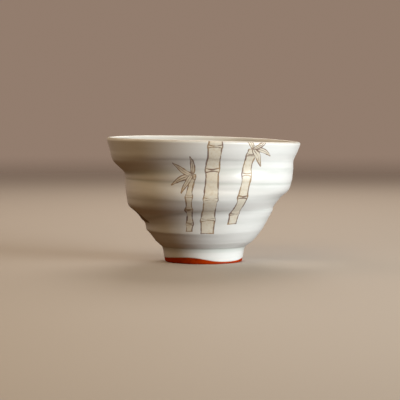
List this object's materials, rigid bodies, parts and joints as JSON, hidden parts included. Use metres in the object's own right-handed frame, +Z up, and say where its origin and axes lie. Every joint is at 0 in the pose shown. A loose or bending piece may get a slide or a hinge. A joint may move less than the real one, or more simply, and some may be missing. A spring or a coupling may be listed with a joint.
{
  "type": "sake cup",
  "caption": "Small hand-thrown white porcelain sake cup with stepped throwing ridges, a thin flaring lip and a low red-edged foot ring, hollow inside for a drink.",
  "frame": {"origin": "centre of the foot ring's underside, on the surface that the cup stands on", "axes": "+Z up along the cup's axis, out of the mouth; -Y towards the viewer and the painted face; +X to the viewer's right, the side on which the lip dips"},
  "size_m": [0.075, 0.075, 0.0482],
  "materials": {
    "glaze": "glossy white porcelain glaze with a fine brown-lined pale painting, worn red-orange at the bare foot edge"
  },
  "bodies": {
    "root": {"cup": "glaze"}
  },
  "joints": []
}
